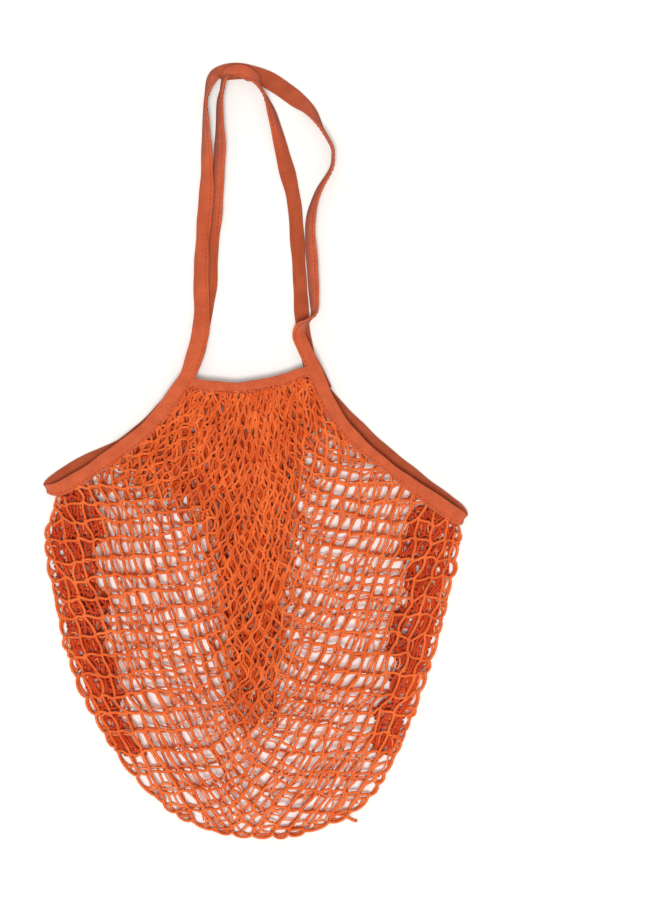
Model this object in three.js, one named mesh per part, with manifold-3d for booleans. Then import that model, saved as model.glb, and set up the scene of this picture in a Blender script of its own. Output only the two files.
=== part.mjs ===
// A large string bag of knotted cotton net, lying flat with its front up and empty.
// Millimetres. X runs across the bag, Y from its bottom up to the handles, Z up from the
// surface that it lies on. The origin is the middle of its footprint, on that surface.
//
// One tape goes all the way round: it binds the net's left and right edges on the front
// and the back, turns over at the two corners, and rises between them as two handles.
// A short hem joins the feet of each handle. The net hangs from tape and hems.

import * as THREE from 'three';
import { mergeGeometries, mergeVertices } from 'three/addons/utils/BufferGeometryUtils.js';
import Module from 'manifold-3d';

const wasm = await Module();
wasm.setup();

// Driving dimensions.
const TAPE_THICK = 2.8; // knitted tape, folded double
const TAPE_BEVEL = 0.9; // its rounded edges
const TAPE_STEP = 11; // distance between two sections of the tape
const HEM_WIDE = 10.3;
const LAP_THICK = 2.4; // where the tape's end is sewn onto its beginning
const NET_THICK = 2.4; // one layer of string
const STRING_WIDE = 3.0; // the net's strings, each standing for two real ones
const MESH_PITCH = 2; // real meshes to one mesh of this net, in each direction
const BORDER = 3.2; // string and loops along the net's edges
const FRONT_Z = 10; // underside of the front layer
const FOLD_Z = 3.2; // the same at the folded sides, where the layers meet
const RAMP = 34; // how far in from the fold the front layer comes down
const LIE_Z = TAPE_THICK / 2; // middle of a tape that lies on the surface
const RIM_Z = 11.1; // middle of a tape on the front of the bag
const GAP = 0.3; // between two pieces that touch

const OVERCUT = 0.5; // how far a cut runs past both faces of a layer
const WELD = 1e-4; // corners closer than this are one

const TAPE_LOOK = { color: 0xc8603f, roughness: 0.92, metalness: 0 };
const NET_LOOK = { color: 0xe0683a, roughness: 0.9, metalness: 0 };

// ---- Meshes and solids -------------------------------------------------------------

function volumeOf(geometry) {
  const at = geometry.getAttribute('position');
  const index = geometry.getIndex();
  const corner = (n) => new THREE.Vector3().fromBufferAttribute(at, index.getX(n));
  let six = 0;
  for (let n = 0; n < index.count; n += 3) {
    six += corner(n).dot(corner(n + 1).cross(corner(n + 2)));
  }
  return six / 6;
}

function indexed(points, faces) {
  const geometry = new THREE.BufferGeometry();
  const flat = points.flatMap((p) => [p.x, p.y, p.z]);
  geometry.setAttribute('position', new THREE.Float32BufferAttribute(flat, 3));
  geometry.setIndex(faces);
  if (volumeOf(geometry) < 0) {
    geometry.setIndex(faces.map((_, n) => faces[n - (n % 3) + 2 - (n % 3)]));
  }
  return geometry;
}

// A skin over sections that follow each other, closed on itself or with flat ends.
function loft(sections, closed) {
  const around = sections[0].length;
  const faces = [];
  const last = closed ? sections.length : sections.length - 1;
  for (let row = 0; row < last; row += 1) {
    const next = (row + 1) % sections.length;
    for (let k = 0; k < around; k += 1) {
      const a = row * around + k;
      const b = row * around + ((k + 1) % around);
      const c = next * around + k;
      const d = next * around + ((k + 1) % around);
      faces.push(a, b, c, b, d, c);
    }
  }
  if (!closed) {
    const end = (sections.length - 1) * around;
    for (let k = 1; k < around - 1; k += 1) {
      faces.push(0, k + 1, k, end, end + k, end + k + 1);
    }
  }
  return indexed(sections.flat(), faces);
}

function toSolid(geometry) {
  const bare = geometry.clone();
  bare.deleteAttribute('normal');
  bare.deleteAttribute('uv');
  const merged = mergeVertices(bare, WELD);
  return new wasm.Manifold(new wasm.Mesh({
    numProp: 3,
    vertProperties: Float32Array.from(merged.getAttribute('position').array),
    triVerts: Uint32Array.from(merged.getIndex().array),
  }));
}

function toGeometry(solid) {
  const { vertProperties, triVerts, numProp } = solid.getMesh();
  const geometry = new THREE.BufferGeometry();
  const at = new THREE.BufferAttribute(Float32Array.from(vertProperties), numProp);
  geometry.setAttribute('position', at);
  geometry.setIndex([...triVerts]);
  return geometry;
}

function slab(outline, low, high) {
  const depth = high - low;
  const shape = new THREE.Shape(outline);
  const geometry = new THREE.ExtrudeGeometry(shape, { depth, bevelEnabled: false });
  return geometry.translate(0, 0, low);
}

// ---- The tape ----------------------------------------------------------------------

// Stations of the tape: x, y, z, its width, how far it is turned up on its inner edge in
// degrees, and at the two corners the compass direction of the inner edge. The inner
// edge is the one towards the net, and along a handle the one towards its opening.
const LEFT_CORNER = [-178.6, -32, 6, 13.4, 0, -66];
const RIGHT_CORNER = [177.3, -58, 6, 15, 0, -118];

const FRONT_LEFT_BINDING = [
  [-165, -32, 10.6, 12.5, 0], [-137, -15, RIM_Z, 13, 0], [-93, 18, RIM_Z, 13.5, 0],
  [-64, 54, RIM_Z, 14, 0],
];
const FRONT_HANDLE = [
  // up the left leg
  [-54, 75, 10.6, 14.5, 0], [-47, 106, 6, 14.5, 0], [-47, 147, 5.1, 13, 8],
  [-46, 177, 5.1, 12.5, 10], [-42, 231, 5.1, 12.5, 15], [-43, 280, 6.5, 12.5, 64],
  [-43, 300, 7, 13, 80],
  // over the crown, flat on the surface
  [-37, 319, 6, 13.5, 45], [-28, 324, 3, 14, 12], [-9, 325, LIE_Z, 14, 0],
  [12, 317, LIE_Z, 14.5, 0], [35, 301, LIE_Z, 14, 0], [47, 290, 5.4, 13.5, 40],
  // round the bend on its edge and down the right leg
  [56, 276, 7, 13, 78], [65, 260, 7, 13, 88], [66, 251, 7, 13, 92],
  [64, 240, 7, 13, 100], [54.5, 219, 6.8, 12.5, 114], [49, 193, 6, 12.5, 132],
  [51, 155, 5.5, 12.5, 138], [52, 127, 6.2, 12.5, 130],
  // it turns over once as it crosses the back handle's leg
  [50, 117, 8.2, 13, 110], [44.5, 110, 10.4, 13, 80], [38.5, 105, 9.8, 13, 45],
  [37, 98, 8, 12, 12], [41, 88, 8.8, 12, 0], [48, 73, 10.6, 13.5, 0],
];
const FRONT_RIGHT_BINDING = [
  [58, 48, RIM_Z, 13.2, 0], [70, 27, RIM_Z, 12.8, 0], [89, 5, RIM_Z, 11, 0],
  [110, -12, RIM_Z, 9.8, 0], [129, -27, RIM_Z, 10.5, 0], [150, -42, RIM_Z, 13.5, 0],
  [166, -53, 10.2, 14.5, 0],
];
const BACK_RIGHT_BINDING = [
  [172, -52, 2.3, 14, 0, -125], [162, -43, LIE_Z, 12.5, 0], [122, -12, LIE_Z, 12, 0],
  [81, 25, LIE_Z, 12, 0], [56, 54, LIE_Z, 12.5, 0],
];
const BACK_HANDLE = [
  // up the right leg
  [46, 75, LIE_Z, 12.5, 0], [40, 107, LIE_Z, 12, 0], [38, 137, LIE_Z, 12, 0],
  [35, 185, LIE_Z, 12, 0], [32, 216, 1.8, 12.5, 2], [24, 249, 2.8, 13, 12],
  [15, 284, 5.9, 12.5, 50], [9, 301, 7.6, 12.5, 78],
  // over the front handle's crown
  [5, 308, 9.4, 12.5, 86], [1, 315, 10, 12.5, 60], [-4, 320, 7.6, 13, 26],
  [-13, 325, 5.2, 12, 4], [-22, 323, 6.9, 12.5, 22], [-27, 317, 10, 12.5, 70],
  // down the left leg
  [-29, 308, 9, 12.5, 76], [-31, 298, 7, 12.5, 66], [-31, 280, 6.5, 12.5, 57],
  [-31, 258, 5.4, 12.5, 40], [-34, 211, 4.3, 12.5, 28], [-38, 175, 2.6, 12, 10],
  [-40, 140, 2, 12, 4], [-45, 110, LIE_Z, 12, 0], [-54, 75, LIE_Z, 12.5, 0],
];
const BACK_LEFT_BINDING = [
  [-77, 38, LIE_Z, 12.5, 0], [-115, 4, LIE_Z, 12.5, 0], [-144, -9, LIE_Z, 12.5, 0],
  [-164, -21, 1.7, 13, 0], [-172.5, -28, 3, 13.4, 0, -63],
];
const FRONT_TAPE = [...FRONT_LEFT_BINDING, ...FRONT_HANDLE, ...FRONT_RIGHT_BINDING];
const BACK_TAPE = [...BACK_RIGHT_BINDING, ...BACK_HANDLE, ...BACK_LEFT_BINDING];
const TAPE = [LEFT_CORNER, ...FRONT_TAPE, RIGHT_CORNER, ...BACK_TAPE];

// The tape's loose end, sewn on at the back handle's right foot.
const LAP = [
  [59, 51.5, 3.3, 12.5, 0], [54, 62.5, 3.3, 12.5, 0], [47.5, 75, 3.2, 12, 0],
];

// The hem's middle line from the left foot to the right one, seen from above.
const HEM = [[-58, 60], [-47, 55], [-20, 53], [2, 55], [25, 60], [37, 65], [48, 68]];

const UP = new THREE.Vector3(0, 0, 1);
const radians = THREE.MathUtils.degToRad;
const midpoint = ([x, y, z]) => new THREE.Vector3(x, y, z);

// From the tape's middle to its inner edge. The net lies on the right of the front tape
// and on the left of the back tape, going once round.
function innerEdge(stations, n, closed) {
  const count = stations.length;
  const [, , , wide, turn, compass] = stations[n];
  const before = closed ? (n + count - 1) % count : Math.max(n - 1, 0);
  const after = closed ? (n + 1) % count : Math.min(n + 1, count - 1);
  const way = midpoint(stations[after]).sub(midpoint(stations[before]));
  const onFront = FRONT_TAPE.includes(stations[n]);
  const level = onFront ? new THREE.Vector3(way.y, -way.x, 0) : new THREE.Vector3(-way.y, way.x, 0);
  if (compass !== undefined) {
    level.set(Math.cos(radians(compass)), Math.sin(radians(compass)), 0);
  }
  level.normalize().multiplyScalar(Math.cos(radians(turn)));
  return level.addScaledVector(UP, Math.sin(radians(turn))).multiplyScalar(wide / 2);
}

function ribbonSection(middle, way, edge, thick, bevel, grow) {
  const across = edge.clone().addScaledVector(way, -edge.dot(way));
  const half = across.length() + grow;
  const high = thick / 2 + grow;
  across.normalize();
  const normal = new THREE.Vector3().crossVectors(way, across);
  const corners = [
    [half, high - bevel], [half - bevel, high], [bevel - half, high], [-half, high - bevel],
    [-half, bevel - high], [bevel - half, -high], [half - bevel, -high], [half, bevel - high],
  ];
  const section = corners.map(([a, b]) => middle.clone()
    .addScaledVector(across, a)
    .addScaledVector(normal, b));
  const sunk = Math.min(0, grow + Math.min(...section.map((p) => p.z)));
  return section.map((p) => p.addScaledVector(UP, -sunk));
}

function ribbon(stations, { closed = false, thick = TAPE_THICK, grow = 0 } = {}) {
  const middles = new THREE.CatmullRomCurve3(stations.map(midpoint), closed, 'catmullrom');
  const edges = new THREE.CatmullRomCurve3(
    stations.map((_, n) => innerEdge(stations, n, closed)), closed, 'catmullrom');
  const spans = closed ? stations.length : stations.length - 1;
  const sections = [];
  const add = (t) => sections.push(ribbonSection(
    middles.getPoint(t), middles.getTangent(t), edges.getPoint(t), thick, TAPE_BEVEL, grow));
  for (let span = 0; span < spans; span += 1) {
    const from = midpoint(stations[span]);
    const far = from.distanceTo(midpoint(stations[(span + 1) % stations.length]));
    const parts = Math.max(1, Math.round(far / TAPE_STEP));
    for (let k = 0; k < parts; k += 1) add((span + k / parts) / spans);
  }
  if (!closed) add(1);
  return loft(sections, closed);
}

function tape(grow = 0) {
  const loop = toSolid(ribbon(TAPE, { closed: true, grow }));
  return loop.add(toSolid(ribbon(LAP, { thick: LAP_THICK, grow })));
}

function hem(z, grow = 0) {
  const stations = HEM.map(([x, y]) => [x, y, z, HEM_WIDE, 0]);
  return toSolid(ribbon(stations, { grow }));
}

// ---- The net -----------------------------------------------------------------------

// The folded sides and the bottom, from the left corner round to the right one.
const FOLD = [
  [-171, -43], [-180, -76], [-172, -128], [-159, -182], [-137, -232], [-104, -280],
  [-66, -313], [-20, -330], [27, -331], [76, -315], [109, -281], [134, -225],
  [154, -167], [170, -100], [176, -68],
];
const FOLD_STEPS = 62;

// How the strings run, from the middle of the hem: across is positive to the right, and
// deep is downwards. In the middle they hang from the hem as narrow upright diamonds; to
// each side one set of strings turns level and the other stays upright; at the bottom
// both run at 45 degrees. Rates are meshes in a millimetre.
const FLOW_MIDDLE = [-2, 53];
const SIDE_RATE = 0.0685; // level strings, counted downwards, at the sides
const FAR_RATE = 0.0149; // upright strings, counted downwards, at the sides
const DEEP_RATE = 0.0516; // both at the bottom
const TURN_AT = 23; // where the strings turn, and over what width
const TURN_OVER = 26;
const FADE_DEPTH = 300; // depth over which the pattern gives way to the bottom's
const UPRIGHT_RATE = 0.088; // upright strings, counted across, at the sides
const UPRIGHT_AT = -20;
const UPRIGHT_OVER = 38;
const GATHER_RATE = 0.1; // more of them, gathered under the hem
const GATHER_AT = 5;
const GATHER_OVER = 42;

function fallingCount(across, deep) {
  const share = 1 / (1 + Math.exp((across - TURN_AT) / TURN_OVER));
  const rate = FAR_RATE + (SIDE_RATE - FAR_RATE) * share;
  const faded = FADE_DEPTH * (1 - Math.exp(-deep / FADE_DEPTH));
  const upright = UPRIGHT_OVER * Math.log1p(Math.exp((across - UPRIGHT_AT) / UPRIGHT_OVER));
  const gathered = GATHER_OVER * Math.tanh((across - GATHER_AT) / GATHER_OVER);
  return UPRIGHT_RATE * upright + GATHER_RATE * gathered
    + DEEP_RATE * deep + (rate - DEEP_RATE) * faded;
}

// The counts of both sets of strings at a point of the net, in this net's own meshes.
function counts(across, deep) {
  return [
    fallingCount(across, deep) / MESH_PITCH,
    fallingCount(-across, deep) / MESH_PITCH,
  ];
}

const NEWTON_STEPS = 8;

// The point with two given counts, by Newton steps from the nearest point of a grid.
function knot(grid, a, b) {
  const off = (g) => Math.hypot(g.a - a, g.b - b);
  let best = grid[0];
  for (const g of grid) if (off(g) < off(best)) best = g;
  if (off(best) > 1) return null;
  let { across, deep } = best;
  const nudge = 0.01;
  for (let step = 0; step < NEWTON_STEPS; step += 1) {
    const [a0, b0] = counts(across, deep);
    const [ax, bx] = counts(across + nudge, deep);
    const [ay, by] = counts(across, deep + nudge);
    const [m, n, p, q] = [ax - a0, ay - a0, bx - b0, by - b0].map((v) => v / nudge);
    const det = m * q - n * p;
    across += (q * (a - a0) - n * (b - b0)) / det;
    deep += (m * (b - b0) - p * (a - a0)) / det;
  }
  return new THREE.Vector2(FLOW_MIDDLE[0] + across, FLOW_MIDDLE[1] - deep);
}

// A convex opening, drawn in by half a string on every side.
function opening(corners) {
  const count = corners.length;
  const inset = STRING_WIDE / 2;
  return corners.map((corner, n) => {
    const into = corner.clone().sub(corners[(n + count - 1) % count]).normalize();
    const out = corners[(n + 1) % count].clone().sub(corner).normalize();
    const left = new THREE.Vector2(-into.y - out.y, into.x + out.x);
    return corner.clone().addScaledVector(left, inset / (1 + into.dot(out)));
  });
}

const GRID_ACROSS = 190;
const GRID_DEEP = [-20, 410];
const GRID_STEP = 10;
const SMALLEST_OPENING = 24; // square millimetres

// Upright prisms for the net's openings. Shift moves the pattern by a part of a mesh.
function openings(low, high, shift) {
  const grid = [];
  for (let across = -GRID_ACROSS; across <= GRID_ACROSS; across += GRID_STEP) {
    for (let deep = GRID_DEEP[0]; deep <= GRID_DEEP[1]; deep += GRID_STEP) {
      const [a, b] = counts(across, deep);
      grid.push({ across, deep, a, b });
    }
  }
  const least = Math.floor(Math.min(...grid.map((g) => g.a)));
  const most = Math.ceil(Math.max(...grid.map((g) => g.a)));
  const prisms = [];
  for (let i = least; i < most; i += 1) {
    for (let j = least; j < most; j += 1) {
      const corners = [[i, j], [i, j + 1], [i + 1, j + 1], [i + 1, j]]
        .map(([a, b]) => knot(grid, a + shift, b + shift));
      if (corners.includes(null)) continue;
      const hole = opening(corners);
      if (THREE.ShapeUtils.area(hole) > SMALLEST_OPENING) prisms.push(slab(hole, low, high));
    }
  }
  return toSolid(mergeGeometries(prisms));
}

// Without the scraps of openings that are left along the edges.
function wholeOpenings(cut, high) {
  const kept = cut.decompose().filter((hole) => hole.volume() > SMALLEST_OPENING * high);
  return wasm.Manifold.union(kept);
}

const flatPoints = (stations) => stations.map(([x, y]) => new THREE.Vector2(x, y));
const foldCurve = new THREE.SplineCurve(flatPoints(FOLD));
const foldLine = foldCurve.getSpacedPoints(FOLD_STEPS);

// A line moved sideways to its left, which is inwards all round the net's outline.
function insetLine(line, far) {
  return line.map((point, n) => {
    const before = line[Math.max(n - 1, 0)];
    const after = line[Math.min(n + 1, line.length - 1)];
    const way = after.clone().sub(before).normalize();
    return new THREE.Vector2(point.x - way.y * far, point.y + way.x * far);
  });
}

function smoothLine(stations) {
  const curve = new THREE.SplineCurve(flatPoints(stations));
  return curve.getSpacedPoints(Math.round(curve.getLength() / TAPE_STEP));
}

// The net's top edge from right to left, along the middle of the tape and the hem.
function topLine(onFront) {
  const hemLine = flatPoints(HEM).slice(1, -1);
  const left = onFront ? [...FRONT_LEFT_BINDING].reverse() : [...BACK_LEFT_BINDING].slice(0, -1);
  const right = onFront ? [...FRONT_RIGHT_BINDING].reverse() : [...BACK_RIGHT_BINDING].slice(1);
  return [...smoothLine(right), ...hemLine.reverse(), ...smoothLine(left)];
}

// How high the underside of the front layer lies: it comes down to the fold.
function frontHeight(x, y) {
  const here = new THREE.Vector2(x, y);
  const far = Math.min(...foldLine.map((p) => p.distanceTo(here)));
  return FOLD_Z + (FRONT_Z - FOLD_Z) * THREE.MathUtils.smoothstep(far, 0, RAMP);
}

function netLayer(onFront) {
  const top = topLine(onFront);
  const low = -OVERCUT;
  const high = NET_THICK + OVERCUT;
  const plate = toSolid(slab([...foldLine, ...top], 0, NET_THICK));
  const clearTop = insetLine(top, HEM_WIDE / 2 + BORDER);
  const clear = toSolid(slab([...insetLine(foldLine, BORDER), ...clearTop], low - 1, high + 1));
  // The back's meshes lie half a mesh away from the front's.
  const cut = openings(low, high, onFront ? 0 : 0.5);
  const layer = plate.subtract(wholeOpenings(cut.intersect(clear), high - low));
  if (!onFront) return layer;
  return layer.warp((at) => {
    at[2] += frontHeight(at[0], at[1]);
  });
}

// The fold itself, which joins the two layers down both sides and along the bottom.
function fold() {
  const proud = 0.3;
  const inner = insetLine(foldLine, BORDER - proud).reverse();
  const high = FOLD_Z + NET_THICK - proud;
  return toSolid(slab([...insetLine(foldLine, proud), ...inner], proud, high));
}

// ---- The bag -----------------------------------------------------------------------

const tapeSolid = tape();
const roomForTape = tape(GAP);
const hemFront = hem(RIM_Z).subtract(roomForTape);
const hemBack = hem(LIE_Z).subtract(roomForTape);
const netSolid = netLayer(true).add(netLayer(false)).add(fold())
  .subtract(roomForTape)
  .subtract(hem(RIM_Z, GAP))
  .subtract(hem(LIE_Z, GAP));

const bag = new THREE.Group();

function piece(name, solid, look) {
  const mesh = new THREE.Mesh(toGeometry(solid), new THREE.MeshStandardMaterial(look));
  mesh.name = name;
  bag.add(mesh);
}

piece('net', netSolid, NET_LOOK);
piece('tape', tapeSolid, TAPE_LOOK);
piece('hem_front', hemFront, TAPE_LOOK);
piece('hem_back', hemBack, TAPE_LOOK);

export default bag;
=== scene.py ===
import math

import bpy
import numpy as np
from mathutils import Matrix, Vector


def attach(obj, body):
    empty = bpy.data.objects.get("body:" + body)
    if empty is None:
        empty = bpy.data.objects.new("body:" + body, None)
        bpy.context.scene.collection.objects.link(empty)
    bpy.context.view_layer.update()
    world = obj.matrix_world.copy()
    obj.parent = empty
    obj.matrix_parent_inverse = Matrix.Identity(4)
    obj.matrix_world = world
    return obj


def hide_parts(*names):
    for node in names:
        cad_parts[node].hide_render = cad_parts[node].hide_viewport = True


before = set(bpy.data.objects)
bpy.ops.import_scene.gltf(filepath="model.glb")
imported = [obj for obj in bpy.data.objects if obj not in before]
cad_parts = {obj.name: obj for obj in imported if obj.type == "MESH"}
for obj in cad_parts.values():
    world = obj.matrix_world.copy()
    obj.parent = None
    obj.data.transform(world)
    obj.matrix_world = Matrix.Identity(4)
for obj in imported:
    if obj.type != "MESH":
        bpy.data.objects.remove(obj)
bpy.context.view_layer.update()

# A string bag of knotted cotton net with a knitted tape round its edges, lying flat.
# Lengths in this script are millimetres in the frame's axes, until a mesh is made.

MM = 0.001
CLEAR = 0.02  # everything stays this far above the surface

# ---- The route of the tape, as in the solids ----------------------------------------

TAPE_THICK, LAP_THICK, HEM_THICK = 2.8, 2.2, 2.5
RIM_Z = 11.1  # middle of the tape where it binds the front
LIE_Z = 1.4  # middle of the tape where it lies on the surface
# Stations: x, y, z, width, turn of the inner edge in degrees, and its compass direction.
LEFT_CORNER = [-178.8, -33, 6, 9.6, 0, -66]
RIGHT_CORNER = [177.5, -59, 6, 11, 0, -118]
FRONT_LEFT_BINDING = [
    [-165, -32, 10.6, 12.5, 0], [-137, -15, RIM_Z, 13, 0], [-93, 18, RIM_Z, 13.5, 0],
    [-64, 54, RIM_Z, 14, 0],
]
FRONT_HANDLE = [
    [-54, 75, 10.6, 14.5, 0], [-47, 106, 6, 14.5, 0], [-47, 147, 5.1, 13, 8],
    [-46, 177, 5.1, 12.5, 10], [-42, 231, 5.1, 12.5, 15], [-43, 280, 6.5, 12.5, 64],
    [-43, 300, 7, 13, 80],
    [-37, 319, 6, 13.5, 45], [-28, 324, 3, 14, 12], [-9, 325, LIE_Z, 14, 0],
    [12, 317, LIE_Z, 14.5, 0], [35, 301, LIE_Z, 14, 0], [47, 290, 5.4, 13.5, 40],
    [56, 276, 7, 13, 78], [65, 260, 7, 13, 88], [66, 251, 7, 13, 92],
    [64, 240, 7, 13, 100], [52.5, 219, 6.8, 12.5, 114], [46.5, 193, 6, 12.5, 132],
    [48.5, 155, 5.5, 12.5, 138], [50, 127, 6.2, 12.5, 130],
    [50, 117, 8.2, 13, 110], [44.5, 110, 10.4, 13, 80], [38.5, 105, 9.8, 13, 45],
    [37, 98, 8, 12, 12], [41, 88, 8.8, 12, 0], [48, 73, 10.6, 13.5, 0],
]
FRONT_RIGHT_BINDING = [
    [58, 48, RIM_Z, 13.2, 0], [70, 27, RIM_Z, 12.8, 0], [89, 5, RIM_Z, 11, 0],
    [110, -12, RIM_Z, 9.8, 0], [129, -27, RIM_Z, 10.5, 0], [150, -42, RIM_Z, 13.5, 0],
    [166, -53, 10.2, 14.5, 0],
]
BACK_RIGHT_BINDING = [
    [172, -52, 2.3, 14, 0, -125], [162, -43, LIE_Z, 12.5, 0], [122, -12, LIE_Z, 12, 0],
    [81, 25, LIE_Z, 12, 0], [56, 54, LIE_Z, 12.5, 0],
]
BACK_HANDLE = [
    [46, 75, LIE_Z, 12.5, 0], [40, 107, LIE_Z, 12, 0], [38, 137, LIE_Z, 12, 0],
    [35, 185, LIE_Z, 12, 0], [32, 216, 1.8, 12.5, 2], [24, 249, 2.8, 13, 12],
    [15, 284, 5.9, 12.5, 50], [9, 301, 7.6, 12.5, 78],
    [5, 308, 9.4, 12.5, 86], [1, 315, 10, 12.5, 60], [-4, 320, 7.6, 13, 26],
    [-13, 325, 5.2, 12, 4], [-22, 323, 6.9, 12.5, 22], [-27, 317, 10, 12.5, 70],
    [-29, 308, 9, 12.5, 76], [-31, 298, 7, 12.5, 66], [-31, 280, 6.5, 12.5, 57],
    [-31, 258, 5.4, 12.5, 40], [-34, 211, 4.3, 12.5, 28], [-38, 175, 2.6, 12, 10],
    [-40, 140, 2, 12, 4], [-45, 110, LIE_Z, 12, 0], [-54, 75, LIE_Z, 12.5, 0],
]
BACK_LEFT_BINDING = [
    [-77, 38, LIE_Z, 12.5, 0], [-115, 4, LIE_Z, 12.5, 0], [-144, -9, LIE_Z, 12.5, 0],
    [-164, -21, 1.7, 13, 0], [-172.5, -28, 3, 13.4, 0, -63],
]
FRONT_TAPE = FRONT_LEFT_BINDING + FRONT_HANDLE + FRONT_RIGHT_BINDING
BACK_TAPE = BACK_RIGHT_BINDING + BACK_HANDLE + BACK_LEFT_BINDING
TAPE = [LEFT_CORNER] + FRONT_TAPE + [RIGHT_CORNER] + BACK_TAPE
LAP = [[59, 51.5, 3.3, 12.5, 0], [54, 62.5, 3.3, 12.5, 0], [47.5, 75, 3.2, 12, 0]]
# The middle of both hems, and the net's fold round the bottom and both sides: x, y.
HEM = [(-58, 60), (-47, 55), (-20, 53), (2, 55), (25, 60), (37, 65), (48, 68)]
HEM_WIDE = 10.3
FOLD = [
    (-171, -43), (-180, -76), (-172, -128), (-159, -182), (-137, -232), (-104, -280),
    (-66, -313), (-20, -330), (27, -331), (76, -315), (109, -281), (134, -225),
    (154, -167), (170, -100), (176, -68),
]
FRONT_Z, FOLD_Z = 10, 3.2  # underside of the front layer, in its middle and at the fold
RAMP = 34  # how far in from the fold the front layer reaches its height
HALF_STRING = 1.2
BACK_Z = 1.75  # middle of the back layer's strings


# ---- Curves --------------------------------------------------------------------------

def catmull(points, closed, t):
    """Places and tangents on the uniform Catmull-Rom curve that the solids use."""
    p = np.asarray(points, float)
    n = len(p)
    spans = n if closed else n - 1
    i = np.clip(np.floor(t).astype(int), 0, spans - 1)
    w = (t - i)[:, None]
    if closed:
        a, b, c, d = (p[(i + k) % n] for k in (-1, 0, 1, 2))
    else:
        q = np.vstack([2 * p[0] - p[1], p, 2 * p[-1] - p[-2]])
        a, b, c, d = (q[i + k] for k in range(4))
    m, k = (c - a) / 2, (d - b) / 2
    at = ((2 * w**3 - 3 * w**2 + 1) * b + (w**3 - 2 * w**2 + w) * m
          + (3 * w**2 - 2 * w**3) * c + (w**3 - w**2) * k)
    way = ((6 * w**2 - 6 * w) * b + (3 * w**2 - 4 * w + 1) * m
           + (6 * w - 6 * w**2) * c + (3 * w**2 - 2 * w) * k)
    return at, unit(way)


def unit(v):
    return v / np.maximum(np.linalg.norm(v, axis=-1, keepdims=True), 1e-9)


def evenly(points, step, closed):
    """Parameters of a Catmull-Rom curve that are about a step apart, span by span."""
    p = np.asarray(points, float)
    far = np.linalg.norm(np.roll(p, -1, 0) - p, axis=1)[: None if closed else -1]
    parts = np.maximum(1, np.round(far / step)).astype(int)
    out = [i + np.arange(k) / k for i, k in enumerate(parts)]
    return np.concatenate(out + ([] if closed else [np.array([len(far)])]))


def run_of(path):
    """Distance along a polyline, at each of its points."""
    return np.r_[0, np.cumsum(np.linalg.norm(np.diff(path, axis=0), axis=1))]


def resample(path, step):
    """A polyline with its points a step apart."""
    far = run_of(path)
    count = max(2, int(round(far[-1] / step)) + 1)
    at = np.linspace(0, far[-1], count)
    return np.stack([np.interp(at, far, path[:, k]) for k in range(path.shape[1])], 1)


def nearest(points, line):
    """Distance of each flat point from a polyline."""
    out = np.full(len(points), 1e9)
    for a, b in zip(line[:-1], line[1:]):
        ab = b - a
        t = np.clip(((points - a) @ ab) / max(ab @ ab, 1e-9), 0, 1)
        out = np.minimum(out, np.linalg.norm(points - a - t[:, None] * ab, axis=1))
    return out


def within(points, loop):
    """Whether each flat point is inside a closed polygon."""
    x, y = points[:, 0], points[:, 1]
    inside = np.zeros(len(points), bool)
    for (x1, y1), (x2, y2) in zip(loop, np.roll(loop, -1, 0)):
        if y1 != y2:
            inside ^= ((y1 > y) != (y2 > y)) & (x < (x2 - x1) * (y - y1) / (y2 - y1) + x1)
    return inside


def smoothstep(x, low, high):
    t = np.clip((x - low) / (high - low), 0, 1)
    return t * t * (3 - 2 * t)


# ---- Meshes --------------------------------------------------------------------------

def make(name, points, loops, starts, look, replaces, uv=None):
    """A smooth mesh object on the root body, from points in millimetres."""
    mesh = bpy.data.meshes.new(name)
    mesh.vertices.add(len(points))
    mesh.vertices.foreach_set("co", (points.astype(np.float32) * MM).ravel())
    mesh.loops.add(len(loops))
    mesh.loops.foreach_set("vertex_index", loops.astype(np.int32))
    mesh.polygons.add(len(starts))
    mesh.polygons.foreach_set("loop_start", starts.astype(np.int32))
    if uv is not None:
        layer = mesh.uv_layers.new(name="cloth")
        layer.uv.foreach_set("vector", uv.astype(np.float32).ravel())
    mesh.update(calc_edges=True)
    mesh.validate()
    mesh.shade_smooth()
    mesh.materials.append(look)
    piece = bpy.data.objects.new(name, mesh)
    bpy.context.scene.collection.objects.link(piece)
    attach(piece, "root")
    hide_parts(replaces)


def skin(rows, around, closed):
    """Quads over rows of ring points, closed on itself or open-ended."""
    r = np.arange(rows if closed else rows - 1)[:, None]
    k = np.arange(around)[None, :]
    a = r * around + k
    b = r * around + (k + 1) % around
    c = ((r + 1) % rows) * around + k
    d = ((r + 1) % rows) * around + (k + 1) % around
    return np.stack([a, b, d, c], -1).reshape(-1, 4)


# ---- Tape ----------------------------------------------------------------------------

TAPE_STEP = 1.5  # from one section of the tape to the next
AROUND = 30  # points in a section
EDGE_ROUND, FACE_ROUND = 0.55, 0.72  # how square a section is, where 1 is an ellipse
STITCH_IN = 2.3  # how far in from the edge the stitches run
STITCH_LONG, STITCH_GAP, STITCH_START = 3.1, 1.1, 1.0
STITCH_STEP = 0.9  # from one point to the next of the line that the stitches follow
STITCH_DIP = np.array([-0.75, -0.1, 0.1, 0.1, -0.1, -0.75])  # how a stitch goes in and out
THREAD_RADIUS, THREAD_LIFT, THREAD_DEPTH = 0.36, 0.12, 0.8
GROOVE_WIDE, GROOVE_DEEP, OUTER_GROOVE = 0.7, 0.32, 0.6
CLOTH_UNIT = 10  # millimetres to a unit of the cloth coordinates
BACK_FACE = 3.0  # shift of the cloth coordinates on the tape's other face


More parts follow.
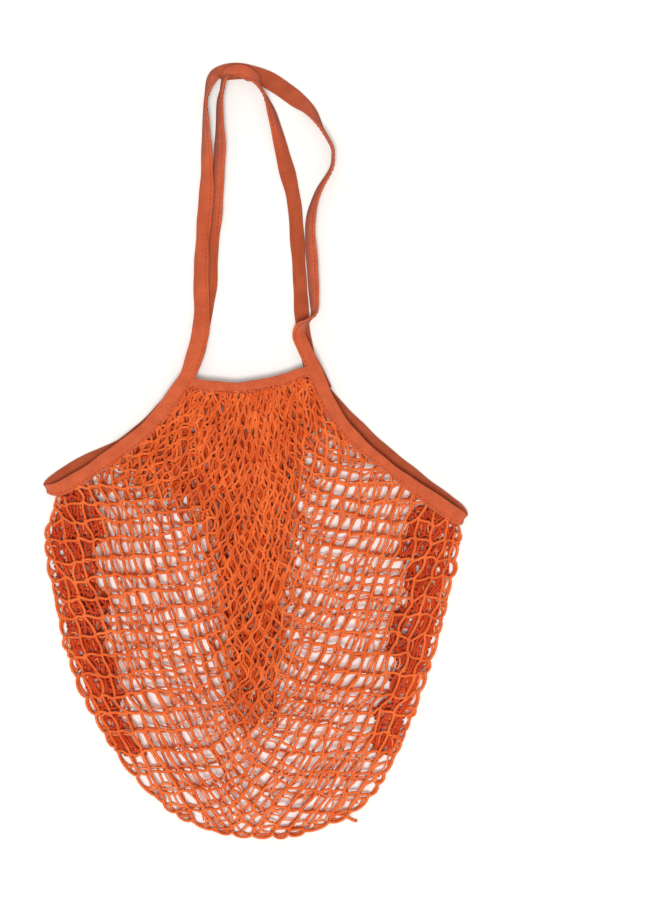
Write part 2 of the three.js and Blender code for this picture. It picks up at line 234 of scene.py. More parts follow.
def across_of(stations, n, closed):
    """From the tape's middle to its inner edge, at a station."""
    count = len(stations)
    before = (n - 1) % count if closed else max(n - 1, 0)
    after = (n + 1) % count if closed else min(n + 1, count - 1)
    way = np.array(stations[after][:3], float) - np.array(stations[before][:3], float)
    station = stations[n]
    on_front = any(station is s for s in FRONT_TAPE)
    level = np.array([way[1], -way[0], 0] if on_front else [-way[1], way[0], 0])
    if len(station) > 5:
        compass = math.radians(station[5])
        level = np.array([math.cos(compass), math.sin(compass), 0])
    turn = math.radians(station[4])
    level = unit(level) * math.cos(turn) + np.array([0, 0, math.sin(turn)])
    return level * station[3] / 2


def frames_of(stations, step, closed):
    """Middle, unit direction to the inner edge, normal and half width along a ribbon."""
    middles = [s[:3] for s in stations]
    edges = [across_of(stations, n, closed) for n in range(len(stations))]
    t = evenly(middles, step, closed)
    at, way = catmull(middles, closed, t)
    edge, _ = catmull(edges, closed, t)
    edge -= way * (edge * way).sum(1, keepdims=True)
    half = np.linalg.norm(edge, axis=1)
    edge = unit(edge)
    return at, edge, np.cross(way, edge), half


def ribbon(stations, closed, thick):
    """Points, faces and cloth coordinates of a folded, knitted tape."""
    at, edge, normal, half = frames_of(stations, TAPE_STEP, closed)
    rows = len(at)
    angle = 2 * np.pi * (np.arange(AROUND) + 0.5) / AROUND
    wide = np.sign(np.cos(angle)) * np.abs(np.cos(angle)) ** EDGE_ROUND
    high = np.sign(np.sin(angle)) * np.abs(np.sin(angle)) ** FACE_ROUND
    along = run_of(at)
    # Slow swelling and creasing, a groove under the stitches, and edges that wander a little.
    swell = 1 + 0.05 * np.sin(along / 17 + 1.3) + 0.04 * np.sin(along / 6.1 + 0.4)
    wander = 0.28 * np.sin(along / 9.3) + 0.2 * np.sin(along / 4.7 + 2)
    off = half[:, None] * wide[None, :]
    off = off + wander[:, None] * np.abs(wide[None, :]) ** 3 * np.sign(wide[None, :])
    seam = half[:, None] - STITCH_IN
    groove = np.exp(-(((off - seam) / GROOVE_WIDE) ** 2))
    groove += np.exp(-(((off + seam) / GROOVE_WIDE) ** 2)) * OUTER_GROOVE
    lift = thick / 2 * high[None, :] * swell[:, None] * (1 - GROOVE_DEEP * groove)
    points = at[:, None] + off[..., None] * edge[:, None] + lift[..., None] * normal[:, None]
    points[..., 2] -= np.minimum(0, points[..., 2].min(1, keepdims=True) - CLEAR)
    faces = skin(rows, AROUND, closed)
    u = np.broadcast_to(along[:, None], (rows, AROUND)) / CLOTH_UNIT
    v = off / CLOTH_UNIT + (lift < 0) * BACK_FACE
    values = np.stack([u, v], -1).reshape(-1, 2)
    uv = values[faces]
    if closed:  # the last row's far side goes on counting
        uv[-AROUND:, 2:, 0] = along[-1] / CLOTH_UNIT + 0.1
    else:
        caps = []
        for row, at_start in ((0, True), (rows - 1, False)):
            ring = np.arange(AROUND) + row * AROUND
            for k in range(AROUND // 2 - 1):
                quad = [ring[k], ring[k + 1], ring[AROUND - 2 - k], ring[AROUND - 1 - k]]
                caps.append(quad if at_start else quad[::-1])
        faces = np.vstack([faces, caps])
        uv = np.concatenate([uv, values[np.array(caps)]])
    return points.reshape(-1, 3), faces, uv


def make_tape(name, replaces, stations, closed=False, thick=TAPE_THICK):
    points, faces, uv = ribbon(stations, closed, thick)
    starts = np.arange(0, faces.size, 4)
    make(name, points, faces.ravel(), starts, KNIT, replaces, uv)


def stitch_paths(stations, closed, inner, side, thick=TAPE_THICK):
    """Short thread paths along a ribbon's inner or outer edge, on one of its faces."""
    at, edge, normal, half = frames_of(stations, STITCH_STEP, closed)
    place_in = (half - STITCH_IN) * (1 if inner else -1)
    rise = side * (thick / 2 * THREAD_DEPTH + THREAD_LIFT)
    line = at + edge * place_in[:, None] + normal * rise
    along = run_of(line)
    paths = []
    start = STITCH_START
    while start + STITCH_LONG < along[-1]:
        s = np.linspace(start, start + STITCH_LONG, len(STITCH_DIP))
        path = np.stack([np.interp(s, along, line[:, k]) for k in range(3)], 1)
        out = np.stack([np.interp(s, along, normal[:, k]) for k in range(3)], 1) * side
        paths.append(path + out * STITCH_DIP[:, None])
        start += STITCH_LONG + STITCH_GAP
    return paths


# ---- Cords ---------------------------------------------------------------------------

CORD_SIDES = 6  # points round a cord, two to each of its ridges
RIDGE = 0.12  # how far the ridges stand out, as a share of the radius
LAY = 9.0  # length of a full turn of the twist


def cords(paths, radius, step=None, ridge=RIDGE, lay=LAY):
    """Twisted cord along each path: ridges that wind round it, with rounded ends."""
    all_points, all_faces, count = [], [], 0
    theta = 2 * np.pi * np.arange(CORD_SIDES) / CORD_SIDES
    r = radius * (1 + ridge * np.cos(CORD_SIDES / 2 * theta))
    for path in paths:
        if step:
            path = resample(path, step)
        rows = len(path)
        way = unit(np.gradient(path, axis=0))
        side = unit(np.cross(way, [0, 0, 1.0]) + np.array([1e-6, 0, 0]))
        up = np.cross(side, way)
        twist = run_of(path) / lay * 2 * np.pi
        ring = theta[None, :] + twist[:, None]
        points = (path[:, None] + (r * np.cos(ring))[..., None] * side[:, None]
                  + (r * np.sin(ring))[..., None] * up[:, None])
        ends = np.stack([path[0] - way[0] * radius * 0.5, path[-1] + way[-1] * radius * 0.5])
        faces = skin(rows, CORD_SIDES, False) + count
        first = count + np.arange(CORD_SIDES)
        last = first + (rows - 1) * CORD_SIDES
        tip = np.full(CORD_SIDES, count + rows * CORD_SIDES)
        near = np.stack([first, tip, tip, np.roll(first, -1)], 1)
        far = np.stack([np.roll(last, -1), tip + 1, tip + 1, last], 1)
        all_points += [points.reshape(-1, 3), ends]
        all_faces += [faces[:, ::-1], near, far]
        count += rows * CORD_SIDES + 2
    return np.concatenate(all_points), np.concatenate(all_faces)


def make_cords(name, points, faces, look, slot="string", replaces="net"):
    """Cords or knots from quads, where a quad with a doubled corner is a triangle."""
    points[:, 2] = np.maximum(points[:, 2], CLEAR)
    doubled = faces[:, 1] == faces[:, 2]
    quads, tris = faces[~doubled], faces[doubled][:, [0, 1, 3]]
    loops = np.concatenate([quads.ravel(), tris.ravel()])
    starts = np.concatenate([np.arange(len(quads)) * 4,
                             len(quads) * 4 + np.arange(len(tris)) * 3])
    make(name, points, loops, starts, look, replaces)


# ---- How the net's strings run -------------------------------------------------------

# Two sets of strings cross. Each string has a count, and these say how the count grows
# with the distance from the middle and the depth below it, in strings to a millimetre.
MIDDLE_X, MIDDLE_Y = -2, 53
SIDE_RATE, FAR_RATE, DEEP_RATE = 0.0685, 0.0149, 0.0516
TURN_AT, TURN_OVER, FADE_DEPTH = -2, 26, 300
UPRIGHT_RATE, UPRIGHT_AT, UPRIGHT_OVER = 0.088, -20, 38
GATHER_RATE, GATHER_AT, GATHER_OVER = 0.11, 5, 42


def falling(across, deep):
    """Count of the set of strings that falls to one side."""
    share = 1 / (1 + np.exp((across - TURN_AT) / TURN_OVER))
    rate = FAR_RATE + (SIDE_RATE - FAR_RATE) * share
    faded = FADE_DEPTH * (1 - np.exp(-deep / FADE_DEPTH))
    upright = UPRIGHT_OVER * np.log1p(np.exp((across - UPRIGHT_AT) / UPRIGHT_OVER))
    narrow = GATHER_OVER * np.tanh((across - GATHER_AT) / GATHER_OVER)
    return (UPRIGHT_RATE * upright + GATHER_RATE * narrow
            + DEEP_RATE * deep + (rate - DEEP_RATE) * faded)


def counts(across, deep):
    return falling(across, deep), falling(-across, deep)


GRID_STEP = 9.0
GRID_AXES = np.arange(-230, 231, GRID_STEP), np.arange(-90, 430, GRID_STEP)
GRID = np.stack(np.meshgrid(*GRID_AXES), -1).reshape(-1, 2)
GRID_COUNTS = np.stack(counts(GRID[:, 0], GRID[:, 1]), 1)
CHUNK = 2000  # places looked up in the grid at once
NEWTON_ROUNDS, NEWTON_STEP, NEWTON_MOST = 8, 0.01, 8


def place(a, b):
    """Flat points with the given counts of both sets of strings, and whether they exist."""
    want = np.stack([a, b], 1)
    at = np.empty_like(want)
    off = np.empty(len(want))
    for k in range(0, len(want), CHUNK):
        gap = ((want[k:k + CHUNK, None] - GRID_COUNTS[None]) ** 2).sum(-1)
        best = gap.argmin(1)
        at[k:k + CHUNK] = GRID[best]
        off[k:k + CHUNK] = gap[np.arange(len(best)), best]
    e = NEWTON_STEP
    for _ in range(NEWTON_ROUNDS):
        a0, b0 = counts(at[:, 0], at[:, 1])
        ax, bx = counts(at[:, 0] + e, at[:, 1])
        ay, by = counts(at[:, 0], at[:, 1] + e)
        m, n, p, q = (ax - a0) / e, (ay - a0) / e, (bx - b0) / e, (by - b0) / e
        det = m * q - n * p
        da, db = a - a0, b - b0
        move = np.stack([(q * da - n * db) / det, (m * db - p * da) / det], 1)
        at = at + move.clip(-NEWTON_MOST, NEWTON_MOST)
    return np.stack([MIDDLE_X + at[:, 0], MIDDLE_Y - at[:, 1]], 1), off < 1.0


FAN_AT = (-5, 171)  # the point that the gathered meshes spread out from
FAN_WIDE = 0.038  # a mesh's width, in radians seen from there
FAN_LONG, FAN_GROWTH = 10, 0.065  # its length: so much, and so much more with the distance
FAN_START = 100
FAN_NEAR, FAN_TURN = 60, 1.2  # the fan is used beyond this distance and within this turn


def fan(a, b):
    """The same for the gathered middle: narrow upright meshes that spread out from the hem."""
    down, across = (a + b) / 2, (a - b) / 2
    far = (FAN_LONG + FAN_GROWTH * FAN_START) * np.exp(FAN_GROWTH * down) - FAN_LONG
    far = far / FAN_GROWTH
    turn = across * FAN_WIDE
    at = np.stack([FAN_AT[0] + far * np.sin(turn), FAN_AT[1] - far * np.cos(turn)], 1)
    return at, (far > FAN_NEAR) & (np.abs(turn) < FAN_TURN)


# ---- The net's outline ---------------------------------------------------------------

FOLD_LINE = catmull(FOLD, False, np.linspace(0, len(FOLD) - 1, 180))[0]
LOWEST = FOLD_LINE[:, 1].argmin()
TUCKED = 1.8  # how far the net goes into the tape and the hem
EDGE_STEP = 5.0  # from one point to the next of the line where it goes in
JOINT_IN = 2.8  # how far inside the fold the strings end, where the edge's arcs begin
FOLD_WAY = unit(np.gradient(FOLD_LINE, axis=0))
JOINT_LINE = FOLD_LINE + np.stack([-FOLD_WAY[:, 1], FOLD_WAY[:, 0]], 1) * JOINT_IN


def binding_edge(first, count):
    """The tape's inner edge along some of its stations, drawn in a little."""
    middles = [st[:3] for st in TAPE]
    edges = [across_of(TAPE, n, True) for n in range(len(TAPE))]
    t = evenly(middles, EDGE_STEP, True)
    t = t[(t >= first) & (t <= first + count - 1)]
    at, _ = catmull(middles, True, t)
    edge, _ = catmull(edges, True, t)
    half = np.linalg.norm(edge, axis=1, keepdims=True)
    return at + unit(edge) * (half - TUCKED)


def hem_edge(z):
    """The lower edge of a hem between the feet of a handle, drawn in as well."""
    p = [[x, y, z] for x, y in HEM]
    at, way = catmull(p, False, np.linspace(0.6, len(HEM) - 1.5, 18))
    down = unit(np.stack([way[:, 1], -way[:, 0], 0 * way[:, 0]], 1))
    return at + down * (HEM_WIDE / 2 - TUCKED)


def top_edge(on_front):
    """Where the net goes into tape and hem, from right to left."""
    fl, fh, fr = len(FRONT_LEFT_BINDING), len(FRONT_HANDLE), len(FRONT_RIGHT_BINDING)
    br, bh, bl = len(BACK_RIGHT_BINDING), len(BACK_HANDLE), len(BACK_LEFT_BINDING)
    if on_front:
        left = binding_edge(1, fl)
        right = binding_edge(1 + fl + fh - 0.5, fr + 0.5)
        return np.vstack([right[::-1], hem_edge(RIM_Z)[::-1], left[::-1]])
    start = 2 + fl + fh + fr
    right = binding_edge(start, br)
    left = binding_edge(start + br + bh, bl)
    return np.vstack([right, hem_edge(LIE_Z)[::-1], left])


FRONT_TOP, BACK_TOP = top_edge(True), top_edge(False)
FRONT_OUTLINE = np.vstack([JOINT_LINE, FRONT_TOP[:, :2]])
BACK_OUTLINE = np.vstack([JOINT_LINE, BACK_TOP[:, :2]])


def along_line(points, line):
    """Distance from a line (negative on its right), nearest place on it and its way there."""
    best = np.full(len(points), 1e9)
    sign = np.ones(len(points))
    near = np.zeros((len(points), line.shape[1]))
    ways = np.zeros((len(points), 2))
    for a, b in zip(line[:-1], line[1:]):
        ab = b[:2] - a[:2]
        t = np.clip(((points - a[:2]) @ ab) / max(ab @ ab, 1e-9), 0, 1)
        gap = points - a[:2] - t[:, None] * ab
        far = np.linalg.norm(gap, axis=1)
        closer = far < best
        best = np.where(closer, far, best)
        near[closer] = a + t[closer, None] * (b - a)
        ways[closer] = ab / max(np.linalg.norm(ab), 1e-9)
        sign[closer] = np.where(ab[0] * gap[closer, 1] - ab[1] * gap[closer, 0] >= 0, 1, -1)
    return best * sign, near, ways


def edge_x(y, left):
    """Where the bag's left or right edge is, at a height on the bag."""
    half = FOLD_LINE[:LOWEST + 1][::-1] if left else FOLD_LINE[LOWEST:]
    return np.interp(y, half[:, 1], half[:, 0])


CROWD, CROWD_DEPTH = 26, 20  # net drawn in along the bindings, and how deep that goes
CROWD_MIDDLE = -6
CROWD_FROM, CROWD_TO = (30, 62), (78, 128)  # distances from there where it sets in and ends
CROWD_ROUNDS, CROWD_REACH = 12, 150


def crowded(xy):
    """The net drawn together towards the bindings, as it hangs there in narrow slits."""
    far, near, way = along_line(xy, FRONT_TOP)
    inwards = np.stack([-way[:, 1], way[:, 0]], 1)
    aside = np.abs(near[:, 0] - CROWD_MIDDLE)
    most = CROWD * smoothstep(aside, *CROWD_FROM) * (1 - smoothstep(aside, *CROWD_TO))
    d = np.maximum(far, 0)
    for _ in range(CROWD_ROUNDS):
        grown = most * np.exp(-np.maximum(d, 0) / CROWD_DEPTH)
        d = np.maximum(d - (d - grown - far) / (1 + grown / CROWD_DEPTH), 0)
    d = np.where(far < -most, far + most, d)
    return xy + inwards * ((d - far) * (np.abs(far) < CROWD_REACH))[:, None]


def loosened(xy):
    """How much looser the net lies beside the bag's edges than in its middle."""
    left, right = edge_x(xy[:, 1], True), edge_x(xy[:, 1], False)
    far = np.minimum(xy[:, 0] - left, right - xy[:, 0])
    return 1 + 0.8 * (1 - smoothstep(far, 20, 48)) * smoothstep(xy[:, 1], -290, -230)


def waves(xy, seed):
    """A slow up-and-down of soft cloth, between about -1 and 1."""
    r = np.random.default_rng(seed)
    out = np.zeros(len(xy))
    for _ in range(5):
        d = r.normal(size=2)
        d *= 2 * np.pi / r.uniform(35, 90) / np.linalg.norm(d)
        out += np.sin(xy @ d + r.uniform(0, 6.28))
    return out / 3


WAVE_HIGH, WAVE_SEED = 0.9, 5


def front_height(xy):
    """Middle of the front layer's strings: down to the fold, and into the tape."""
    far = nearest(xy, FOLD_LINE)
    z = FOLD_Z + (FRONT_Z - FOLD_Z) * smoothstep(far, 0, RAMP) + HALF_STRING
    z = z + WAVE_HIGH * waves(xy, WAVE_SEED) * smoothstep(far, 4, 40)
    top, near, _ = along_line(xy, FRONT_TOP)
    share = 1 - smoothstep(np.abs(top), 1, 16)
    return z * (1 - share) + near[:, 2] * share


def level(z):
    """The same height everywhere."""
    return lambda xy: np.full(len(xy), z)


def between(share):
    """A share of the way up from the back layer to the front one."""
    return lambda xy: BACK_Z + (front_height(xy) - BACK_Z) * share


# ---- Layers of net -------------------------------------------------------------------

SAMPLES = 8  # points on a string from knot to knot
SHORTEST = 4  # points that a piece of string has at least
LOW, HIGH = -30, 52  # the counts that any layer may use
SPAN = HIGH - LOW + 1


class Net:
    """One layer of net, drawn by its two sets of strings.

    shift moves its meshes, loose is how far its knots stray in x, y and z, bow is how far
    a string bows out between two knots, pinch is how long strings run side by side at a
    knot, and low_high is how far one set lies above the other.
    """

    def __init__(self, shift, seed, loose, bow, height, loops, warp=None, pinch=0.6,
                 low_high=0.35, field=place):
        self.shift, self.pinch, self.warp, self.height = shift, pinch, warp, height
        self.loops, self.low_high, self.field = loops, low_high, field
        r = np.random.default_rng(seed)
        stray = r.normal(size=(SPAN + 1, SPAN + 1, 3)).clip(-2, 2)
        self.jitter = stray * np.array(loose)
        self.bow = r.normal(size=(2, SPAN + 1, SPAN + 1, 2)).clip(-2, 2) * bow
        n = np.arange(LOW, HIGH + 1)
        i, j = (v.ravel() for v in np.meshgrid(n, n, indexing="ij"))
        at, ok = self.flat(i + shift, j + shift)
        at = at + self.jitter[i - LOW, j - LOW][:, :2] * loosened(at)[:, None]
        self.inside = (self.within(at) & ok).reshape(SPAN, SPAN)
        self.at = at.reshape(SPAN, SPAN, 2)

    def within(self, xy):
        return np.all([within(xy, loop) for loop in self.loops], axis=0)

    def flat(self, a, b):
        at, ok = self.field(a, b)
        return (self.warp(at) if self.warp else at), ok

    def line(self, k, family):
        """One string, from a mesh before its first knot to a mesh past its last one."""
        hits = np.flatnonzero(self.inside[k - LOW] if family == 0 else self.inside[:, k - LOW])
        if len(hits) == 0:
            return None
        first, last = max(hits[0] - 2, 0), min(hits[-1] + 2, SPAN - 1)
        s = np.arange(first * SAMPLES, last * SAMPLES + 1) / SAMPLES
        cell = np.minimum(np.floor(s + 1e-6).astype(int), SPAN - 1)
        f = s - cell
        # Strings run side by side near a knot, and part in the middle of a mesh.
        part = f - self.pinch * np.sin(2 * np.pi * f) / (2 * np.pi)
        own, other = cell + (f + part) / 2, (f - part) / 2
        base = k + self.shift
        if family == 0:
            a, b = base + other, own + LOW + self.shift
            j0, j1 = self.jitter[k - LOW, cell], self.jitter[k - LOW, cell + 1]
        else:
            a, b = own + LOW + self.shift, base + other
            j0, j1 = self.jitter[cell, k - LOW], self.jitter[cell + 1, k - LOW]
        at, ok = self.flat(a, b)
        w = (f * f * (3 - 2 * f))[:, None]
        j = j0 * (1 - w) + j1 * w
        bow = self.bow[family, k - LOW, cell] * np.sin(np.pi * f)[:, None] ** 2
        xy = at + (j[:, :2] + bow) * loosened(at)[:, None]
        z = self.height(xy) + j[:, 2] + self.low_high * (1 if family == 0 else -1)
        return np.c_[xy, z], ok & self.within(xy)

    def strings(self):
        """Paths of all strings inside the outline, and the places where they leave it."""
        paths, ends = [], []
        for family in (0, 1):
            for k in range(LOW, HIGH + 1):
                made = self.line(k, family)
                if made is None:
                    continue
                path, inside = made
                for first, last in runs(inside):
                    if last - first < SHORTEST:
                        continue
                    part = path[first:last]
                    paths.append(part)
                    if first > 0:
                        ends.append(part[0])
                    if last < len(path):
                        ends.append(part[-1])
        return paths, np.array(ends)

    def knots(self):
        """Each knot's middle, and the way that its two strings run past it together."""
        i, j = np.nonzero(self.inside)
        keep = (i > 0) & (j > 0) & (i < SPAN - 1) & (j < SPAN - 1)
        i, j = i[keep], j[keep]
        at = self.at[i, j]
        z = self.height(at) + self.jitter[i, j, 2]
        return np.c_[at, z], unit(self.at[i + 1, j + 1] - self.at[i - 1, j - 1])


def runs(mask):
    """Start and end of each stretch of True."""
    edges = np.flatnonzero(np.diff(np.r_[0, mask.astype(int), 0]))
    return list(zip(edges[::2], edges[1::2]))


JOINT_REACH = 3.5  # how much further in than the joints a string may end and still make one
JOINT_APART = 4.5  # the least distance between two joints
SCALLOP_WIDE = 13  # the usual distance
BAG_MIDDLE = np.array([0, -130])  # the arcs bulge away from it
ARC_POINTS, ARC_PULL, ARC_FULL, ARC_GROWTH = 15, 1.33, 0.02, 0.06


def scallops(ends, bulge, middle_z, seed):
    """Arcs along the fold from each string that comes out there to the next one."""
    r = np.random.default_rng(seed)
    run = run_of(FOLD_LINE)
    far = np.linalg.norm(ends[:, None, :2] - FOLD_LINE[None], axis=2)
    at = run[far.argmin(1)]
    near = far.min(1) < JOINT_IN + JOINT_REACH
    # Joints where no string comes out, so that the edge goes on up to the tape at both ends.
    spare = np.arange(1, run[-1] - 1, SCALLOP_WIDE)
    spare = spare[np.abs(spare[:, None] - at[near][None]).min(1) > 0.7 * SCALLOP_WIDE]
    extra = np.stack([np.interp(spare, run, JOINT_LINE[:, k]) for k in (0, 1)]
                     + [np.full(len(spare), middle_z)], 1)
    chain, at = np.vstack([ends[near], extra]), np.r_[at[near], spare]
    order = np.argsort(at)
    chain, at = chain[order], at[order]
    kept = [0]
    for n in range(1, len(chain)):
        if at[n] - at[kept[-1]] > JOINT_APART:
            kept.append(n)
    paths = []
    t = np.linspace(0, 1, ARC_POINTS)[:, None]
    for m, n in zip(kept[:-1], kept[1:]):
        a, b = chain[m], chain[n]
        wide = np.linalg.norm(b - a)
        way = unit((b - a)[:2])
        out = np.array([way[1], -way[0], 0])
        if out[:2] @ ((a + b)[:2] / 2 - BAG_MIDDLE) < 0:
            out = -out
        high = bulge * r.uniform(0.7, 1.3) + ARC_GROWTH * wide
        c0 = a + out * high * ARC_PULL + np.r_[way, 0] * wide * ARC_FULL
        c1 = b + out * high * ARC_PULL - np.r_[way, 0] * wide * ARC_FULL
        path = (1 - t)**3 * a + 3 * t * (1 - t)**2 * c0 + 3 * t * t * (1 - t) * c1 + t**3 * b
        path[:, 2] += (middle_z - path[:, 2]) * np.sin(np.pi * t[:, 0]) ** 2
        paths.append(path)
    return paths


KNOT_RINGS, KNOT_SIDES = 12, 5
KNOT_WIDE, KNOT_LONG, KNOT_HIGH = 1.15, 1.426, 0.55  # half sizes of the string's loop
KNOT_THICK, KNOT_MIDDLE, KNOT_LIFT = 0.95, 0.15, 0.25


def knot_mesh(places, ways, seed):
    """A small hitch at each place: one string taken round the other."""
    r = np.random.default_rng(seed)
    t = 2 * np.pi * np.arange(KNOT_RINGS) / KNOT_RINGS
    loop = np.stack([KNOT_WIDE * np.sin(t), KNOT_LONG * np.cos(t),
                     KNOT_HIGH * np.cos(2 * t) + KNOT_MIDDLE], 1)
    way = unit(np.roll(loop, -1, 0) - np.roll(loop, 1, 0))
    side = unit(np.cross(way, [0, 0, 1.0]))
    up = np.cross(side, way)
    th = 2 * np.pi * np.arange(KNOT_SIDES) / KNOT_SIDES
    ring = loop[:, None] + KNOT_THICK * (np.cos(th)[None, :, None] * side[:, None]
                                         + np.sin(th)[None, :, None] * up[:, None])
    base = ring.reshape(-1, 3)
    faces = skin(KNOT_RINGS, KNOT_SIDES, True)[:, ::-1]
    points, all_faces = [], []
    for n, (at, y) in enumerate(zip(places, ways)):
        turn = r.uniform(-0.5, 0.5)
        c, s = math.cos(turn), math.sin(turn)
        along = np.array([c * y[0] - s * y[1], s * y[0] + c * y[1], 0])
        across = np.array([along[1], -along[0], 0])
        size = r.uniform(0.88, 1.14)
        flip = 1 if r.random() < 0.5 else -1
        axes = np.stack([across * flip, along, [0, 0, 1.0]])
        points.append(base * size @ axes + at + [0, 0, KNOT_LIFT])
        all_faces.append((faces if flip > 0 else faces[:, ::-1]) + n * len(base))
    return np.concatenate(points), np.concatenate(all_faces)


# ---- Materials -----------------------------------------------------------------------

BLEND_FIRST, BLEND_SECOND, BLEND_RESULT = 6, 7, 2  # the colour sockets of a Mix node


def material(name):
    mat = bpy.data.materials.new(name)
    mat.use_nodes = True
    tree = mat.node_tree
    return mat, tree, tree.nodes["Principled BSDF"]


def node(tree, kind, inputs=None, **props):
    made = tree.nodes.new(kind)
    for key, value in props.items():
        setattr(made, key, value)
    for key, value in (inputs or {}).items():
        if isinstance(value, bpy.types.NodeSocket):
            tree.links.new(value, made.inputs[key])
        else:
            made.inputs[key].default_value = value
    return made


def rgb(*values):
    """Linear colour from sRGB bytes."""
    linear = [v / 255 / 12.92 if v <= 10 else ((v / 255 + 0.055) / 1.055) ** 2.4
              for v in values]
    return (*linear, 1.0)


def calc(tree, operation, *values):
    """One step of arithmetic on numbers or sockets."""
    made = node(tree, "ShaderNodeMath", dict(enumerate(values)), operation=operation)
    return made.outputs[0]


def mapped(tree, value, low, high, at_low, at_high):
    """A value carried over from one range into another."""
    made = node(tree, "ShaderNodeMapRange", {
        "Value": value, "From Min": low, "From Max": high,
        "To Min": at_low, "To Max": at_high})
    return made.outputs["Result"]


def noise(tree, where, scale, detail):
    made = node(tree, "ShaderNodeTexNoise", {"Vector": where, "Scale": scale, "Detail": detail})
    return made.outputs["Fac"]


def part_of(tree, vector, axis):
    return node(tree, "ShaderNodeSeparateXYZ", {"Vector": vector}).outputs[axis]


def scaled(tree, colour, share):
    made = node(tree, "ShaderNodeVectorMath", {0: colour, "Scale": share}, operation="SCALE")
    return made.outputs["Vector"]


def painted_side_shade(tree, colour, darkest):
    """The colour, painted darker where the cloth turns away from above: painted shade on its
    sides.
    """
    normal = node(tree, "ShaderNodeNewGeometry").outputs["Normal"]
    upright = calc(tree, "ABSOLUTE", part_of(tree, normal, "Z"))
    return scaled(tree, colour, mapped(tree, upright, 0.2, 0.92, darkest, 1.0))


def dyed(tree, patch, ends, colours, amount):
    """Patchy dye between the first two colours, with an amount of the third on top."""
    ramp = node(tree, "ShaderNodeValToRGB", {"Fac": patch})
    for stop, position, colour in zip(ramp.color_ramp.elements, ends, colours):
        stop.position = position
        stop.color = colour
    blend = node(tree, "ShaderNodeMix", data_type="RGBA")
    tree.links.new(amount, blend.inputs["Factor"])
    tree.links.new(ramp.outputs["Color"], blend.inputs[BLEND_FIRST])
    blend.inputs[BLEND_SECOND].default_value = colours[2]
    return blend.outputs[BLEND_RESULT]


def finished(tree, shader, colour, height, strength, distance, values):
    """Puts colour, bump and plain values on a shader."""
    tree.links.new(colour, shader.inputs["Base Color"])
    bump = node(tree, "ShaderNodeBump", {
        "Height": height, "Strength": strength, "Distance": distance})
    tree.links.new(bump.outputs["Normal"], shader.inputs["Normal"])
    for key, value in values.items():
        shader.inputs[key].default_value = value


def cotton(name, *colours, fibre=1700.0):
    """Matt dyed cotton: patchy dye, lighter fluff on the ridges, painted shade on its sides and
    a fibrous bump.
    """
    mat, tree, shader = material(name)
    where = node(tree, "ShaderNodeTexCoord").outputs["Object"]
    patch = noise(tree, where, 55.0, 3.0)
    fluff = noise(tree, where, fibre, 2.0)
    amount = mapped(tree, fluff, 0.45, 0.75, 0.0, 0.45)
    colour = painted_side_shade(tree, dyed(tree, patch, (0.34, 0.66), colours, amount), 0.84)
    finished(tree, shader, colour, fluff, 0.35, 0.0004, {
        "Roughness": 0.95, "Specular IOR Level": 0.1,
        "Sheen Weight": 0.05, "Sheen Roughness": 0.6})
    return mat


COLUMNS, ROWS = 8.0, 9.0  # the knit's columns and stitches to a centimetre
LEG_LEAN = 0.6


def knitted(name, *colours):
    """Knitted cotton tape: columns of small V stitches along it, in its own coordinates, with
    painted shade on its sides and on its lowest runs.
    """
    mat, tree, shader = material(name)
    cloth = node(tree, "ShaderNodeUVMap", uv_map="cloth").outputs["UV"]
    where = node(tree, "ShaderNodeTexCoord").outputs["Object"]
    # The two legs of each stitch lean together.
    column = calc(tree, "MULTIPLY", part_of(tree, cloth, "Y"), COLUMNS)
    lean = calc(tree, "MULTIPLY", calc(tree, "PINGPONG", column, 1.0), LEG_LEAN)
    row = calc(tree, "ADD", calc(tree, "MULTIPLY", part_of(tree, cloth, "X"), ROWS), lean)
    wave = calc(tree, "SINE", calc(tree, "MULTIPLY", row, 2 * math.pi))
    rib = calc(tree, "COSINE", calc(tree, "MULTIPLY", column, 2 * math.pi))
    fluff = noise(tree, where, 2000.0, 2.0)
    high = calc(tree, "MULTIPLY_ADD", fluff, 1.6, calc(tree, "ADD", wave, rib))
    patch = noise(tree, where, 90.0, 4.0)
    amount = mapped(tree, high, -1.2, 3.0, 0.0, 0.6)
    colour = painted_side_shade(tree, dyed(tree, patch, (0.36, 0.66), colours, amount), 0.55)
    # Painted shade: the runs of tape that lie lowest are painted a little darker than those on
    # top (in metres).
    low_runs_painted_shade = mapped(tree, part_of(tree, where, "Z"), 0.0028, 0.0085, 0.72, 1.0)
    finished(tree, shader, scaled(tree, colour, low_runs_painted_shade), high, 0.7, 0.0003, {
        "Roughness": 0.9, "Specular IOR Level": 0.2,
        "Sheen Weight": 0.15, "Sheen Roughness": 0.5})
    return mat


# Each has its deeper dye, its lighter dye and its fluff.
STRING = cotton("string_cotton", rgb(214, 86, 30), rgb(234, 110, 50), rgb(248, 146, 92))
# A darker copy of the same cotton: painted shade on the gathered middle.
GATHER_PAINTED_SHADE = cotton("string_cotton_gathered_painted_shade",
                rgb(202, 74, 22), rgb(222, 96, 38), rgb(238, 130, 74))
# A deeper copy of the same cotton: painted shade on the folds that lie under the front.
INNER_PAINTED_SHADE = cotton("string_cotton_inside_painted_shade", rgb(186, 50, 4), rgb(208, 72, 14), rgb(226, 100, 42))
# A deeper copy of the same cotton: painted shade on the net folded in at the sides.
SIDE_PAINTED_SHADE = cotton("string_cotton_folded_painted_shade", rgb(184, 50, 12), rgb(208, 70, 28), rgb(226, 98, 56))
# A lighter copy of the same cotton: painted light on the lower layers, which the front shades.
PALE_PAINTED_LIGHT = cotton("string_cotton_painted_light", rgb(236, 116, 60), rgb(248, 140, 84), rgb(252, 168, 120))
KNIT = knitted("tape_knit", rgb(196, 76, 36), rgb(218, 94, 50), rgb(234, 120, 76))
THREAD = cotton("tape_thread", rgb(176, 68, 32), rgb(196, 82, 42), rgb(216, 106, 66),
                fibre=2600.0)


# ---- The tape and the hems -----------------------------------------------------------

